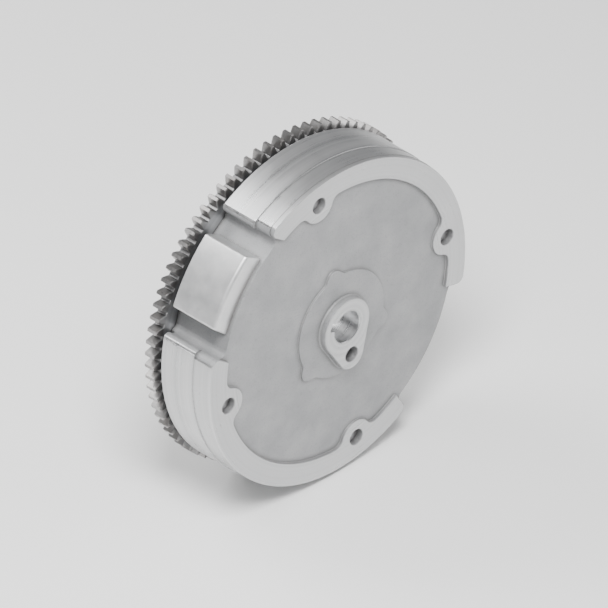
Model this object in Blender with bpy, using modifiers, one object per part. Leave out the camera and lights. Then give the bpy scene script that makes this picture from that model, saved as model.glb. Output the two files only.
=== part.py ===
"""Flywheel of a small horizontal-shaft engine with an electric starter.

Frame: metres, +Z up, origin on the crankshaft axis half way through the flywheel's thickness.
The axis is Y. The fan side, with the hub boss, faces -Y; the engine side faces +Y.
Depths are measured along +Y from the front plane of the fan flange. Outlines are drawn in the
front view, (X, Z), and angles are measured about the axis from +X towards +Z, in degrees.
"""
import math

import bmesh
import bpy
from mathutils import Matrix, Vector

MM = 0.001
GAP = 0.3 * MM              # clearance between neighbouring pieces
OVERLAP = 1.0 * MM          # how far a cutter runs past the face it opens
DRILL_RUN_IN = 6.0 * MM     # and a drill that starts on a curved face
WELD = 0.001 * MM
CUTTER_MOUTH = 3.0 * MM     # how far a notch cutter stands outside the disc's edge
BODY_SEGMENTS = 128
BORE_SEGMENTS = 90
HOLE_SEGMENTS = 24
SHANK_SEGMENTS = 16
HEXAGON = 6
PAD_POINTS = 96
ARC_STEP = 3.0              # degrees between points on a large arc
HUB_ARC_STEP = 6.0
BLOCK_ARC_STEP = 4.0
ROUND_STEP = 15.0           # and on a small one

# Depths behind the flange's front plane
HUB_FRONT = -7.8 * MM
PAD_FRONT = -3.25 * MM
STEP_DEPTH = 14.1 * MM
DRUM_BACK = 39.6 * MM
GEAR_FRONT = 42.9 * MM
GEAR_BACK = 50.8 * MM
BODY_BACK = 51.2 * MM
MID_DEPTH = 0.5 * (HUB_FRONT + BODY_BACK)

# Radii of the casting
FLANGE_R = 104.4 * MM
DRUM_R = 104.9 * MM
GROOVE_R = 95.0 * MM
SEAT_R = 91.2 * MM
CAVITY_R = 80.0 * MM
LEDGE_R = 87.0 * MM

# Web: the front is a shallow cone, the back is flat with a boss round the bore
DISH_INNER_R = 30.0 * MM
DISH_INNER_DEPTH = -2.2 * MM
DISH_OUTER_R = 95.2 * MM
DISH_OUTER_DEPTH = 2.4 * MM
WEB_BACK = 12.0 * MM
WEB_CORNER = 4.0 * MM
LEDGE_DEPTH = 45.0 * MM
REAR_BOSS_R = 25.0 * MM
REAR_BOSS_DRAFT = 1.0 * MM
REAR_BOSS_BACK = 38.0 * MM
BACK_CHAMFER = 1.0 * MM

# Fan flange: two C-shaped lands with an ear round each fan hole
LAND_SETBACK = 0.1 * MM     # how far a land stays inside the casting below it
LAND_ROOT = 6.0 * MM        # depth that a land is sunk to
LAND_INNER_R = 90.1 * MM
FAN_HOLE_CIRCLE_R = 90.4 * MM
FAN_HOLE_R = 5.05 * MM
FAN_HOLE_DEPTH = 4.6 * MM
FAN_HOLE_ANGLES = (9.6, 99.6, 189.6, 279.6)
EAR_R = 11.5 * MM
EAR_FILLET = 6.0 * MM
END_ROUND = 4.6 * MM

# Ignition-magnet pocket with parallel walls, and the relief gap opposite it with radial walls
POCKET_ANGLE = 144.7
POCKET_HALF_WIDTH = 38.8 * MM
POCKET_FLOOR_R = SEAT_R + GAP
POCKET_FILLET = 4.6 * MM
DRUM_END_ROUND = 3.3 * MM
RELIEF_ANGLE = POCKET_ANGLE - 180.0
RELIEF_HALF_ANGLE = 22.4

# Pad round the hub, with three low bumps, and the teardrop hub boss
PAD_R = 34.5 * MM
PAD_BUMP_ANGLES = (98.8, 218.8, 338.8)
PAD_BUMP_HEIGHT = 5.3 * MM
PAD_BUMP_HALF_ANGLE = 13.5
PAD_BUMP_FULLNESS = 0.7     # below 1 the bump's top is flatter than a cosine
HUB_R = 18.3 * MM
DOWEL_CENTRE = Vector((3.6, -21.1)) * MM
DOWEL_BOSS_R = 9.8 * MM
DOWEL_HOLE_R = 4.9 * MM
DOWEL_HOLE_DEPTH = 6.0 * MM
BOSS_ROOT = 2.0 * MM        # depth that the pad and the hub boss are sunk to

# Tapered bore, one in five on diameter, and its keyway
BORE_FRONT_R = 9.9 * MM
BORE_TAPER = 0.1
KEY_ANGLE = 156.6
KEY_HALF_WIDTH = 2.65 * MM
KEY_FLOOR = 14.1 * MM       # from the axis, at the front

# Balance drillings in the back of the web
BALANCE_CIRCLE_R = 56.0 * MM
BALANCE_HOLE_R = 4.5 * MM
BALANCE_DEPTH = 4.0 * MM
BALANCE_ANGLES = (RELIEF_ANGLE - 12.0, RELIEF_ANGLE, RELIEF_ANGLE + 12.0)

# Ring gear
GEAR_TEETH = 84
GEAR_MODULE = 2.5 * MM
GEAR_PITCH_R = 0.5 * GEAR_TEETH * GEAR_MODULE
GEAR_TIP_R = GEAR_PITCH_R + GEAR_MODULE
GEAR_ROOT_R = GEAR_PITCH_R - 1.25 * GEAR_MODULE
GEAR_BORE_R = SEAT_R + GAP
GEAR_PRESSURE_ANGLE = math.radians(20.0)
GEAR_PHASE = 1.0            # angle of the middle of a tooth
GEAR_FLANK_POINTS = 3

# Ignition block: a cover cast round a magnet and two pole shoes, screwed on from inside the rim
BLOCK_FRONT = 4.9 * MM
BLOCK_BACK = 39.1 * MM
BLOCK_BASE_R = POCKET_FLOOR_R + GAP
BLOCK_TOP_R = 104.1 * MM
BLOCK_BASE_HALF_WIDTH = 24.6 * MM
BLOCK_TOP_HALF_WIDTH = 23.4 * MM
BLOCK_EDGE_RADIAL = 2.7 * MM
BLOCK_EDGE_AXIAL = 2.1 * MM
BAY_FRONT = 10.0 * MM
BAY_BACK = 34.0 * MM
BAY_HALF_WIDTH = 20.5 * MM
BAY_TOP_R = 102.4 * MM
MAGNET_HALF_WIDTH = 8.5 * MM
IGNITION_SCREW_OFFSET = 14.5 * MM
IGNITION_SCREW_DEPTH = 22.0 * MM
IGNITION_SHANK_R = 2.5 * MM
IGNITION_HEAD_R = 4.25 * MM
IGNITION_HEAD_OUTER = 83.7 * MM     # distances along the pocket's middle line
IGNITION_HEAD_INNER = 79.5 * MM
IGNITION_SCREW_TIP = 98.4 * MM
IGNITION_SOCKET_R = 2.3 * MM
IGNITION_SOCKET_DEPTH = 2.2 * MM

# Charging magnets, their pressed retainer and its screws
CHARGE_MAGNETS = 6
CHARGE_SPACING = 360.0 / CHARGE_MAGNETS
CHARGE_HALF_ANGLE = 25.0
CHARGE_INNER_R = 70.3 * MM
CHARGE_FRONT = 16.4 * MM
RETAINER_THICKNESS = 0.8 * MM
RETAINER_FRONT = 15.0 * MM
RETAINER_LIP_FRONT = LEDGE_DEPTH + GAP
RETAINER_LIP_BACK = RETAINER_LIP_FRONT + RETAINER_THICKNESS
RETAINER_LIP_R = LEDGE_R - 0.4 * MM
RETAINER_SCREW_CIRCLE_R = 83.4 * MM
RETAINER_SHANK_R = 2.0 * MM
RETAINER_HEAD_R = 3.2 * MM
RETAINER_HEAD_HEIGHT = 2.2 * MM
RETAINER_SCREW_TIP = 37.0 * MM
RETAINER_SOCKET_R = 1.3 * MM
RETAINER_SOCKET_DEPTH = 1.2 * MM

# Looks: colour, roughness, metallic
CAST_IRON = ((0.44, 0.45, 0.46), 0.55, 0.8)
GEAR_STEEL = ((0.50, 0.51, 0.53), 0.35, 1.0)
COVER_ALUMINIUM = ((0.72, 0.73, 0.74), 0.40, 1.0)
FERRITE = ((0.09, 0.09, 0.10), 0.60, 0.1)
SHOE_STEEL = ((0.42, 0.42, 0.43), 0.40, 1.0)
STAINLESS = ((0.66, 0.66, 0.65), 0.30, 1.0)
ZINC_PLATE = ((0.62, 0.63, 0.60), 0.35, 1.0)


# --- Scene helpers -----------------------------------------------------------------------------

def clear_scene():
    for obj in list(bpy.data.objects):
        bpy.data.objects.remove(obj, do_unlink=True)


def new_collection(name):
    collection = bpy.data.collections.new(name)
    bpy.context.scene.collection.children.link(collection)
    return collection


def make_material(name, look):
    colour, roughness, metallic = look
    material = bpy.data.materials.new(name)
    material.use_nodes = True
    shader = material.node_tree.nodes["Principled BSDF"]
    shader.inputs["Base Color"].default_value = (*colour, 1.0)
    shader.inputs["Roughness"].default_value = roughness
    shader.inputs["Metallic"].default_value = metallic
    return material


def add_object(name, shape, collection, material=None):
    """Object from a bmesh. Without a material it is a hidden cutter."""
    mesh = bpy.data.meshes.new(name)
    shape.to_mesh(mesh)
    shape.free()
    obj = bpy.data.objects.new(name, mesh)
    collection.objects.link(obj)
    if material:
        mesh.materials.append(material)
    else:
        obj.hide_render = True
        obj.display_type = "WIRE"
    return obj


# --- Geometry helpers --------------------------------------------------------------------------

ORIGIN = Vector((0.0, 0.0))


def world_y(along):
    """World Y of a depth behind the flange's front plane."""
    return along - MID_DEPTH


def world(point, along):
    """World point of a front-view point at a depth."""
    return Vector((point.x, world_y(along), point.y))


def polar(radius, degrees):
    angle = math.radians(degrees)
    return Vector((radius * math.cos(angle), radius * math.sin(angle)))


def heading(vector):
    return math.degrees(math.atan2(vector.y, vector.x))


def turn(points, degrees):
    rotation = Matrix.Rotation(math.radians(degrees), 2)
    return [rotation @ point for point in points]


def mirror(points):
    """Outline mirrored about its own x axis, travelled in the same order."""
    return [Vector((point.x, -point.y)) for point in points]


def arc(centre, radius, start, end, step=ARC_STEP):
    """Points on an arc from start to end degrees, both included."""
    count = max(2, math.ceil(abs(end - start) / step - 0.001))
    return [centre + polar(radius, start + (end - start) * i / count) for i in range(count + 1)]


def rim_between(radius, start, end, anticlockwise):
    """Points on a circle about the axis, strictly between two outline points."""
    first = heading(start)
    sweep = (heading(end) - first) % 360.0
    if not anticlockwise:
        sweep -= 360.0
    return arc(ORIGIN, radius, first, first + sweep)[1:-1]


def turned(name, profile, collection, material=None):
    """Solid of revolution about Y from a closed loop of (radius, depth)."""
    shape = bmesh.new()
    ring = [shape.verts.new((radius, world_y(along), 0.0)) for radius, along in profile]
    for first, second in zip(ring, ring[1:] + ring[:1]):
        shape.edges.new((first, second))
    obj = add_object(name, shape, collection, material)
    screw = obj.modifiers.new("Turn", "SCREW")
    screw.axis = "Y"
    screw.steps = BODY_SEGMENTS
    screw.render_steps = BODY_SEGMENTS
    screw.use_merge_vertices = True
    screw.merge_threshold = WELD
    return obj


def loft(name, sections, collection, material=None):
    """Solid through unlike front-view outlines with the same number of points:
    [(depth, outline), ...]."""
    shape = bmesh.new()
    rings = [[shape.verts.new(world(point, along)) for point in outline]
             for along, outline in sections]
    for front, back in zip(rings, rings[1:]):
        for i in range(len(front)):
            j = (i + 1) % len(front)
            shape.faces.new((front[i], front[j], back[j], back[i]))
    shape.faces.new(rings[0])
    shape.faces.new(rings[-1])
    bmesh.ops.recalc_face_normals(shape, faces=shape.faces)
    return add_object(name, shape, collection, material)


def prism(name, outline, front, back, collection, material=None):
    """Front-view outline, filled and extruded between two depths."""
    curve = bpy.data.curves.new(f"{name}_outline", "CURVE")
    curve.dimensions = "2D"
    curve.fill_mode = "BOTH"
    curve.extrude = 0.5 * (back - front)
    spline = curve.splines.new("POLY")
    spline.points.add(len(outline) - 1)
    for knot, point in zip(spline.points, outline):
        knot.co = (point.x, point.y, 0.0, 1.0)
    spline.use_cyclic_u = True
    drawing = bpy.data.objects.new(f"{name}_outline", curve)
    drawing.location.y = world_y(0.5 * (front + back))
    drawing.rotation_euler.x = math.radians(90.0)
    collection.objects.link(drawing)
    return mesh_from_curve(name, drawing, collection, material)


def mesh_from_curve(name, drawing, collection, material):
    """Welded mesh object in the place of a curve object, which is removed."""
    graph = bpy.context.evaluated_depsgraph_get()
    mesh = bpy.data.meshes.new_from_object(drawing.evaluated_get(graph))
    shape = bmesh.new()
    shape.from_mesh(mesh)
    bmesh.ops.remove_doubles(shape, verts=shape.verts, dist=WELD)
    bmesh.ops.recalc_face_normals(shape, faces=shape.faces)
    obj = add_object(name, shape, collection, material)
    obj.matrix_world = drawing.matrix_world
    bpy.data.objects.remove(drawing, do_unlink=True)
    return obj


def rod(name, start, end, radius, collection, material=None, end_radius=None,
        segments=HOLE_SEGMENTS):
    """Cylinder, or a cone if it has an end_radius, between two world points."""
    span = end - start
    matrix = Matrix.Translation(start.lerp(end, 0.5))
    matrix = matrix @ Vector((0.0, 0.0, 1.0)).rotation_difference(span).to_matrix().to_4x4()
    shape = bmesh.new()
    bmesh.ops.create_cone(
        shape, cap_ends=True, segments=segments, radius1=radius,
        radius2=radius if end_radius is None else end_radius, depth=span.length, matrix=matrix)
    return add_object(name, shape, collection, material)


def combine(obj, others, operation):
    for other in others:
        modifier = obj.modifiers.new(other.name, "BOOLEAN")
        modifier.operation = operation
        modifier.object = other
        modifier.solver = "EXACT"


# --- Outlines of the casting -------------------------------------------------------------------

def dish_depth(radius):
    slope = (DISH_OUTER_DEPTH - DISH_INNER_DEPTH) / (DISH_OUTER_R - DISH_INNER_R)
    return DISH_INNER_DEPTH + slope * (radius - DISH_INNER_R)


def body_profile():
    """Half section of the casting before its notches and holes are cut."""
    core_r = 0.5 * BORE_FRONT_R
    shoulder = GEAR_FRONT - GAP
    return [
        (core_r, REAR_BOSS_BACK),
        (REAR_BOSS_R - REAR_BOSS_DRAFT, REAR_BOSS_BACK),
        (REAR_BOSS_R, WEB_BACK + WEB_CORNER),
        (REAR_BOSS_R + WEB_CORNER, WEB_BACK),
        (CAVITY_R - WEB_CORNER, WEB_BACK),
        (CAVITY_R, WEB_BACK + WEB_CORNER),
        (CAVITY_R, LEDGE_DEPTH),
        (LEDGE_R, LEDGE_DEPTH),
        (LEDGE_R, BODY_BACK),
        (SEAT_R - BACK_CHAMFER, BODY_BACK),
        (SEAT_R, BODY_BACK - BACK_CHAMFER),
        (SEAT_R, shoulder),
        (GROOVE_R, shoulder),
        (GROOVE_R, DRUM_BACK),
        (DRUM_R, DRUM_BACK),
        (DRUM_R, STEP_DEPTH),
        (FLANGE_R, STEP_DEPTH),
        (FLANGE_R, dish_depth(FLANGE_R)),
        (DISH_INNER_R, DISH_INNER_DEPTH),
        (core_r, DISH_INNER_DEPTH),
    ]


def lip(outer_r, wall, radius):
    """Rounded corner between an outer circle and a wall at y = wall, from the circle inwards."""
    y = wall + radius
    centre = Vector((math.sqrt((outer_r - radius) ** 2 - y ** 2), y))
    return arc(centre, radius, heading(centre), -90.0, ROUND_STEP)


def open_lip(outer_r, wall, radius):
    """The same corner for a cutter: it leaves the disc's edge at a small angle."""
    corner = lip(outer_r, wall, radius)[1:]
    mouth = corner[0] * ((outer_r + CUTTER_MOUTH) / corner[0].length)
    return [mouth] + corner


def floor_fillet(floor_r, wall, radius):
    """Hollow fillet between a wall at y = wall and a floor circle, from the wall inwards."""
    y = wall - radius
    centre = Vector((math.sqrt((floor_r + radius) ** 2 - y ** 2), y))
    return arc(centre, radius, 90.0, 180.0 + heading(centre), ROUND_STEP)


def notch_outline(middle, half_angle, wall, outer_r, floor_r, lip_radius, fillet_radius):
    """Notch in a disc's edge. Its walls are parallel to the radii at half_angle either side of
    the middle, and lie outside those radii by the wall distance."""
    side = open_lip(outer_r, wall, lip_radius) + floor_fillet(floor_r, wall, fillet_radius)
    side = turn(side, half_angle)
    floor = rim_between(floor_r, side[-1], mirror(side)[-1], anticlockwise=False)
    mouth = rim_between(outer_r + CUTTER_MOUTH, mirror(side)[0], side[0], anticlockwise=True)
    return turn(side + floor + mirror(side)[::-1] + mouth, middle)


def lip_cutter_outline(side):
    """Wider rounding of the pocket's corner where it crosses the flange. Side is 1 or -1."""
    corner = open_lip(FLANGE_R, POCKET_HALF_WIDTH, END_ROUND)
    inside = POCKET_HALF_WIDTH - CUTTER_MOUTH
    outline = corner + [Vector((corner[-1].x, inside)), Vector((corner[0].x, inside))]
    return turn(outline if side > 0 else mirror(outline), POCKET_ANGLE)


def land_end(wall, half_angle):
    """End of a land beside a notch, in the notch's frame, from the outer circle inwards."""
    y = wall + LAND_SETBACK
    inner_corner = Vector((math.sqrt(LAND_INNER_R ** 2 - y ** 2), y))
    return turn(lip(FLANGE_R - LAND_SETBACK, y, END_ROUND) + [inner_corner], half_angle)


def ear(angle):
    """Ear round a fan hole, with its fillets, travelled clockwise about the axis."""
    reach = LAND_INNER_R - EAR_FILLET
    cosine = reach ** 2 + FAN_HOLE_CIRCLE_R ** 2 - (EAR_R + EAR_FILLET) ** 2
    offset = math.degrees(math.acos(cosine / (2.0 * reach * FAN_HOLE_CIRCLE_R)))
    hole = Vector((FAN_HOLE_CIRCLE_R, 0.0))
    fillet_centre = polar(reach, offset)
    to_fillet = heading(fillet_centre - hole)
    fillet = arc(fillet_centre, EAR_FILLET, offset, to_fillet - 180.0, ROUND_STEP)
    crown = arc(hole, EAR_R, to_fillet, 360.0 - to_fillet, ROUND_STEP)
    return turn(fillet + crown[1:-1] + mirror(fillet)[::-1], angle)


def land_outline(start, end, ears):
    """C-shaped land running anticlockwise between two ends given from the outer circle inwards."""
    outline = end[:]
    for angle in sorted(ears, reverse=True):
        lobe = ear(angle)
        outline += rim_between(LAND_INNER_R, outline[-1], lobe[0], anticlockwise=False) + lobe
    outline += rim_between(LAND_INNER_R, outline[-1], start[-1], anticlockwise=False)
    outer = rim_between(FLANGE_R - LAND_SETBACK, start[0], end[0], anticlockwise=True)
    return outline + start[::-1] + outer


def pad_outline():
    outline = []
    for i in range(PAD_POINTS):
        angle = 360.0 * (i + 0.5) / PAD_POINTS
        radius = PAD_R
        for middle in PAD_BUMP_ANGLES:
            offset = abs((angle - middle + 180.0) % 360.0 - 180.0) / PAD_BUMP_HALF_ANGLE
            if offset < 1.0:
                rise = 0.5 + 0.5 * math.cos(math.pi * offset)
                radius += PAD_BUMP_HEIGHT * rise ** PAD_BUMP_FULLNESS
        outline.append(polar(radius, angle))
    return outline


def teardrop_outline():
    """Two circles joined by their outer tangents."""
    towards = heading(DOWEL_CENTRE)
    spread = math.degrees(math.acos((HUB_R - DOWEL_BOSS_R) / DOWEL_CENTRE.length))
    big = arc(ORIGIN, HUB_R, towards + spread, towards + 360.0 - spread, HUB_ARC_STEP)
    small = arc(DOWEL_CENTRE, DOWEL_BOSS_R, towards - spread, towards + spread, ROUND_STEP)
    return big + small


def bore_radius(along):
    return BORE_FRONT_R + BORE_TAPER * (along - HUB_FRONT)


def key_outline(along):
    floor = bore_radius(along) + KEY_FLOOR - BORE_FRONT_R
    corners = [Vector((floor, -KEY_HALF_WIDTH)), Vector((floor, KEY_HALF_WIDTH)),
               Vector((0.5 * BORE_FRONT_R, KEY_HALF_WIDTH)),
               Vector((0.5 * BORE_FRONT_R, -KEY_HALF_WIDTH))]
    return turn(corners, KEY_ANGLE)


# --- Flywheel body -----------------------------------------------------------------------------

def raised_features(cutters):
    """Lands, pad and hub boss, which are united with the turned casting."""
    at_pocket = land_end(POCKET_HALF_WIDTH, 0.0)
    at_relief = land_end(0.0, RELIEF_HALF_ANGLE)
    upper = land_outline(turn(at_relief, RELIEF_ANGLE), turn(mirror(at_pocket), POCKET_ANGLE),
                         FAN_HOLE_ANGLES[:2])
    lower = land_outline(turn(at_pocket, POCKET_ANGLE), turn(mirror(at_relief), RELIEF_ANGLE),
                         FAN_HOLE_ANGLES[2:])
    return [
        prism("land_upper", upper, 0.0, LAND_ROOT, cutters),
        prism("land_lower", lower, 0.0, LAND_ROOT, cutters),
        prism("pad", pad_outline(), PAD_FRONT, BOSS_ROOT, cutters),
        prism("hub_boss", teardrop_outline(), HUB_FRONT, BOSS_ROOT + OVERLAP, cutters),
    ]


def notch_cutters(cutters):
    pocket = notch_outline(POCKET_ANGLE, 0.0, POCKET_HALF_WIDTH, DRUM_R, POCKET_FLOOR_R,
                           DRUM_END_ROUND, POCKET_FILLET)
    relief = notch_outline(RELIEF_ANGLE, RELIEF_HALF_ANGLE, 0.0, FLANGE_R, DISH_OUTER_R,
                           END_ROUND, POCKET_FILLET)
    shapes = [prism("pocket", pocket, -OVERLAP, GEAR_FRONT, cutters),
              prism("relief", relief, -OVERLAP, STEP_DEPTH, cutters)]
    for side in (1, -1):
        shapes.append(prism(f"lip_{side}", lip_cutter_outline(side), -OVERLAP, STEP_DEPTH, cutters))
    return shapes


def bore_cutters(cutters):
    front, back = HUB_FRONT - OVERLAP, REAR_BOSS_BACK + OVERLAP
    bore = rod("bore", world(ORIGIN, front), world(ORIGIN, back), bore_radius(front), cutters,
               end_radius=bore_radius(back), segments=BORE_SEGMENTS)
    key = loft("keyway", [(along, key_outline(along)) for along in (front, back)], cutters)
    return [bore, key]


def hole_cutters(cutters):
    shapes = [rod("dowel_hole", world(DOWEL_CENTRE, HUB_FRONT - OVERLAP),
                  world(DOWEL_CENTRE, HUB_FRONT + DOWEL_HOLE_DEPTH), DOWEL_HOLE_R, cutters)]
    for angle in FAN_HOLE_ANGLES:
        centre = polar(FAN_HOLE_CIRCLE_R, angle)
        shapes.append(rod("fan_hole", world(centre, -OVERLAP), world(centre, FAN_HOLE_DEPTH),
                          FAN_HOLE_R, cutters))
    for angle in BALANCE_ANGLES:
        centre = polar(BALANCE_CIRCLE_R, angle)
        shapes.append(rod("balance_hole", world(centre, WEB_BACK - BALANCE_DEPTH),
                          world(centre, WEB_BACK + OVERLAP), BALANCE_HOLE_R, cutters))
    for angle in retainer_screw_angles():
        centre = polar(RETAINER_SCREW_CIRCLE_R, angle)
        shapes.append(rod("retainer_hole", world(centre, RETAINER_SCREW_TIP - GAP),
                          world(centre, LEDGE_DEPTH + OVERLAP), RETAINER_SHANK_R + GAP, cutters,
                          segments=SHANK_SEGMENTS))
    for side in (1, -1):
        shapes.append(rod("ignition_hole", ignition_point(IGNITION_HEAD_INNER, side),
                          ignition_point(POCKET_FLOOR_R + OVERLAP, side),
                          IGNITION_SHANK_R + GAP, cutters))
        shapes.append(rod("spot_face", ignition_point(IGNITION_HEAD_INNER - DRILL_RUN_IN, side),
                          ignition_point(IGNITION_HEAD_OUTER + GAP, side),
                          IGNITION_HEAD_R + GAP, cutters))
    return shapes


def build_body(parts, cutters):
    body = turned("flywheel_body", body_profile(), parts, make_material("cast_iron", CAST_IRON))
    combine(body, notch_cutters(cutters), "DIFFERENCE")
    combine(body, raised_features(cutters), "UNION")
    combine(body, bore_cutters(cutters) + hole_cutters(cutters), "DIFFERENCE")


# --- Ring gear ---------------------------------------------------------------------------------

def tooth_half_angle(radius):
    """Half thickness of an involute tooth at a radius, in degrees."""
    base_r = GEAR_PITCH_R * math.cos(GEAR_PRESSURE_ANGLE)
    pressure = math.acos(base_r / radius)
    at_pitch = math.tan(GEAR_PRESSURE_ANGLE) - GEAR_PRESSURE_ANGLE
    half = math.pi / (2.0 * GEAR_TEETH) + at_pitch - (math.tan(pressure) - pressure)
    return math.degrees(half)


def gear_outline():
    flank = []
    for i in range(GEAR_FLANK_POINTS):
        radius = GEAR_ROOT_R + (GEAR_TIP_R - GEAR_ROOT_R) * i / (GEAR_FLANK_POINTS - 1)
        flank.append(polar(radius, -tooth_half_angle(radius)))
    tooth = flank + mirror(flank)[::-1]
    outline = []
    for i in range(GEAR_TEETH):
        outline += turn(tooth, GEAR_PHASE + 360.0 * i / GEAR_TEETH)
    return outline


def build_gear(parts, cutters):
    gear = prism("ring_gear", gear_outline(), GEAR_FRONT, GEAR_BACK, parts,
                 make_material("gear_steel", GEAR_STEEL))
    bore = rod("gear_bore", world(ORIGIN, GEAR_FRONT - OVERLAP), world(ORIGIN, GEAR_BACK + OVERLAP),
               GEAR_BORE_R, cutters, segments=BODY_SEGMENTS)
    combine(gear, [bore], "DIFFERENCE")


# --- Ignition block ----------------------------------------------------------------------------

def ignition_point(distance, side):
    """World point on an ignition screw's axis, at a distance along the pocket's middle line."""
    point = turn([Vector((distance, side * IGNITION_SCREW_OFFSET))], POCKET_ANGLE)[0]
    return world(point, IGNITION_SCREW_DEPTH)


def slab(low, high, base_r, top_r):
    """Slice of the block between two widths and two radii, with walls along the middle line."""
    def curve(radius):
        return arc(ORIGIN, radius, math.degrees(math.asin(low(radius) / radius)),
                   math.degrees(math.asin(high(radius) / radius)), BLOCK_ARC_STEP)
    return turn(curve(base_r) + curve(top_r)[::-1], POCKET_ANGLE)


def straight_slab(low, high, base_r, top_r):
    return slab(lambda radius: low, lambda radius: high, base_r, top_r)


def cover_outline(top_r):
    def half_width(radius):
        share = (radius - BLOCK_BASE_R) / (BLOCK_TOP_R - BLOCK_BASE_R)
        return BLOCK_BASE_HALF_WIDTH + share * (BLOCK_TOP_HALF_WIDTH - BLOCK_BASE_HALF_WIDTH)
    return slab(lambda radius: -half_width(radius), half_width, BLOCK_BASE_R, top_r)


def build_ignition_block(parts, cutters):
    front_section = cover_outline(BLOCK_TOP_R - BLOCK_EDGE_RADIAL)
    full_section = cover_outline(BLOCK_TOP_R)
    cover = loft("ignition_magnet_cover",
                 [(BLOCK_FRONT, front_section), (BLOCK_FRONT + BLOCK_EDGE_AXIAL, full_section),
                  (BLOCK_BACK, full_section)],
                 parts, make_material("cover_aluminium", COVER_ALUMINIUM))
    bay = straight_slab(-BAY_HALF_WIDTH, BAY_HALF_WIDTH, BLOCK_BASE_R - OVERLAP, BAY_TOP_R)
    combine(cover, [prism("magnet_bay", bay, BAY_FRONT, BAY_BACK, cutters)], "DIFFERENCE")

    front, back, top_r = BAY_FRONT + GAP, BAY_BACK - GAP, BAY_TOP_R - GAP
    magnet = straight_slab(-MAGNET_HALF_WIDTH, MAGNET_HALF_WIDTH, BLOCK_BASE_R, top_r)
    prism("ignition_magnet", magnet, front, back, parts, make_material("ignition_ferrite", FERRITE))

    shoe_steel = make_material("shoe_steel", SHOE_STEEL)
    screw_zinc = make_material("ignition_screw_zinc", ZINC_PLATE)
    for side, place in ((1, "leading"), (-1, "trailing")):
        edges = sorted((side * (MAGNET_HALF_WIDTH + GAP), side * (BAY_HALF_WIDTH - GAP)))
        outline = straight_slab(edges[0], edges[1], BLOCK_BASE_R, top_r)
        shoe = prism(f"pole_shoe_{place}", outline, front, back, parts, shoe_steel)
        hole = rod(f"shoe_hole_{place}", ignition_point(BLOCK_BASE_R - DRILL_RUN_IN, side),
                   ignition_point(IGNITION_SCREW_TIP + GAP, side), IGNITION_SHANK_R + GAP, cutters)
        combine(shoe, [hole], "DIFFERENCE")
        build_screw(f"ignition_screw_{place}", ignition_point(IGNITION_SCREW_TIP, side),
                    ignition_point(IGNITION_HEAD_OUTER, side),
                    ignition_point(IGNITION_HEAD_INNER, side), IGNITION_SHANK_R, IGNITION_HEAD_R,
                    IGNITION_SOCKET_R, IGNITION_SOCKET_DEPTH, parts, cutters, screw_zinc)


# --- Screws ------------------------------------------------------------------------------------

def build_screw(name, tip, neck, top, shank_r, head_r, socket_r, socket_depth, parts, cutters,
                material):
    """Cap screw with a hexagon socket: a shank from tip to neck and a head from neck to top."""
    inward = (neck - top).normalized()
    screw = rod(name, top, neck, head_r, parts, material)
    shank = rod(f"{name}_shank", tip, top.lerp(neck, 0.5), shank_r, cutters,
                segments=SHANK_SEGMENTS)
    socket = rod(f"{name}_socket", top - inward * OVERLAP, top + inward * socket_depth, socket_r,
                 cutters, segments=HEXAGON)
    combine(screw, [shank], "UNION")
    combine(screw, [socket], "DIFFERENCE")


# --- Charging magnets --------------------------------------------------------------------------

def charge_angles():
    return [POCKET_ANGLE + CHARGE_SPACING * i for i in range(CHARGE_MAGNETS)]


def retainer_screw_angles():
    return [angle + 0.5 * CHARGE_SPACING for angle in charge_angles()]


def build_charge_magnets(parts):
    material = make_material("charge_ferrite", FERRITE)
    half = CHARGE_HALF_ANGLE
    inner = arc(ORIGIN, CHARGE_INNER_R, -half, half)
    outer = arc(ORIGIN, CAVITY_R - GAP, half, -half)
    for i, angle in enumerate(charge_angles()):
        prism(f"charge_magnet_{i + 1}", turn(inner + outer, angle), CHARGE_FRONT, LEDGE_DEPTH,
              parts, material)


def build_retainer(parts, cutters):
    outer = CHARGE_INNER_R - GAP
    inner = outer - RETAINER_THICKNESS
    profile = [(inner, RETAINER_LIP_BACK), (RETAINER_LIP_R, RETAINER_LIP_BACK),
               (RETAINER_LIP_R, RETAINER_LIP_FRONT), (outer, RETAINER_LIP_FRONT),
               (outer, RETAINER_FRONT), (inner, RETAINER_FRONT)]
    retainer = turned("magnet_retainer", profile, parts, make_material("stainless", STAINLESS))
    zinc = make_material("retainer_screw_zinc", ZINC_PLATE)
    holes = []
    for i, angle in enumerate(retainer_screw_angles()):
        centre = polar(RETAINER_SCREW_CIRCLE_R, angle)
        holes.append(rod("lip_hole", world(centre, RETAINER_LIP_FRONT - OVERLAP),
                         world(centre, RETAINER_LIP_BACK + OVERLAP), RETAINER_SHANK_R + GAP,
                         cutters, segments=SHANK_SEGMENTS))
        neck = RETAINER_LIP_BACK + GAP
        build_screw(f"retainer_screw_{i + 1}", world(centre, RETAINER_SCREW_TIP),
                    world(centre, neck), world(centre, neck + RETAINER_HEAD_HEIGHT),
                    RETAINER_SHANK_R, RETAINER_HEAD_R, RETAINER_SOCKET_R, RETAINER_SOCKET_DEPTH,
                    parts, cutters, zinc)
    combine(retainer, holes, "DIFFERENCE")


def main():
    clear_scene()
    parts = new_collection("flywheel")
    cutters = new_collection("flywheel_cutters")
    build_body(parts, cutters)
    build_gear(parts, cutters)
    build_ignition_block(parts, cutters)
    build_charge_magnets(parts)
    build_retainer(parts, cutters)


main()
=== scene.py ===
"""Looks of the flywheel: a finer casting, gear, cover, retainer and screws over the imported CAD.

Sizes are in metres, in the CAD's frame: the crankshaft axis is Y and the fan side faces -Y.
Depths are measured along +Y from the front plane of the fan flange. Outlines are drawn in the
front view, (X, Z), and angles are measured about the axis from +X towards +Z, in degrees.
"""
import math

import bmesh
import bpy
from mathutils import Matrix, Vector

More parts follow.
